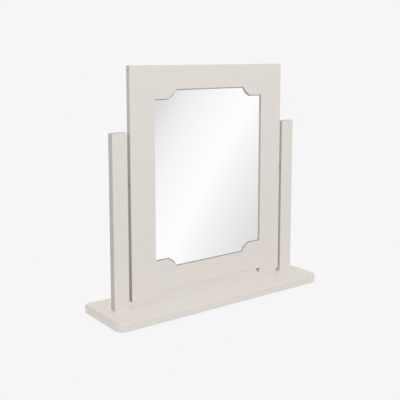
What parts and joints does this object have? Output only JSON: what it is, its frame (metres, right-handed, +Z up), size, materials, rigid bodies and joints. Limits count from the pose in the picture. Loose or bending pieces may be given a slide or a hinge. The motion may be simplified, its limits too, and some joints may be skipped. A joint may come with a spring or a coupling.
{
  "type": "dressing table mirror",
  "caption": "Free-standing dressing table mirror: a painted frame with stepped, arc-shouldered corners that tilts between two posts on a rounded base board.",
  "frame": {"origin": "on the surface that the mirror stands on, under the middle of the base board", "axes": "+X to the viewer's right along the base board, -Y towards the viewer, +Z up"},
  "size_m": [0.6, 0.163, 0.571],
  "materials": {
    "stone_paint": "off-white satin paint on close-grained wood",
    "mirror_glass": "silvered float glass",
    "hardboard": "bare brown hardboard",
    "beech": "bare beech",
    "zinc_steel": "zinc plated",
    "bright_steel": "bright turned steel",
    "grey_rubber": "matt grey rubber",
    "nylon": "natural moulded nylon",
    "felt": "pressed felt"
  },
  "bodies": {
    "stand": {"base_board": "stone_paint", "left_post": "stone_paint", "right_post": "stone_paint", "post_screws": "zinc_steel", "post_dowels": "beech", "base_pads": "felt", "left_pivot_pin": "bright_steel", "right_pivot_pin": "bright_steel", "left_friction_sleeve": "grey_rubber", "right_friction_sleeve": "grey_rubber", "left_thrust_washer": "bright_steel", "right_thrust_washer": "bright_steel"},
    "mirror_frame": {"left_stile": "stone_paint", "right_stile": "stone_paint", "top_rail": "stone_paint", "bottom_rail": "stone_paint", "rail_tenons": "beech", "left_pivot_bush": "nylon", "right_pivot_bush": "nylon", "mirror_glass": "mirror_glass", "backing_panel": "hardboard", "glazing_points": "zinc_steel"}
  },
  "joints": [
    {"name": "frame_tilt", "type": "hinge", "parent": "stand", "child": "mirror_frame", "pos_m": [0, -0.002, 0.311], "axis": [1, 0, 0], "continuous": true}
  ]
}
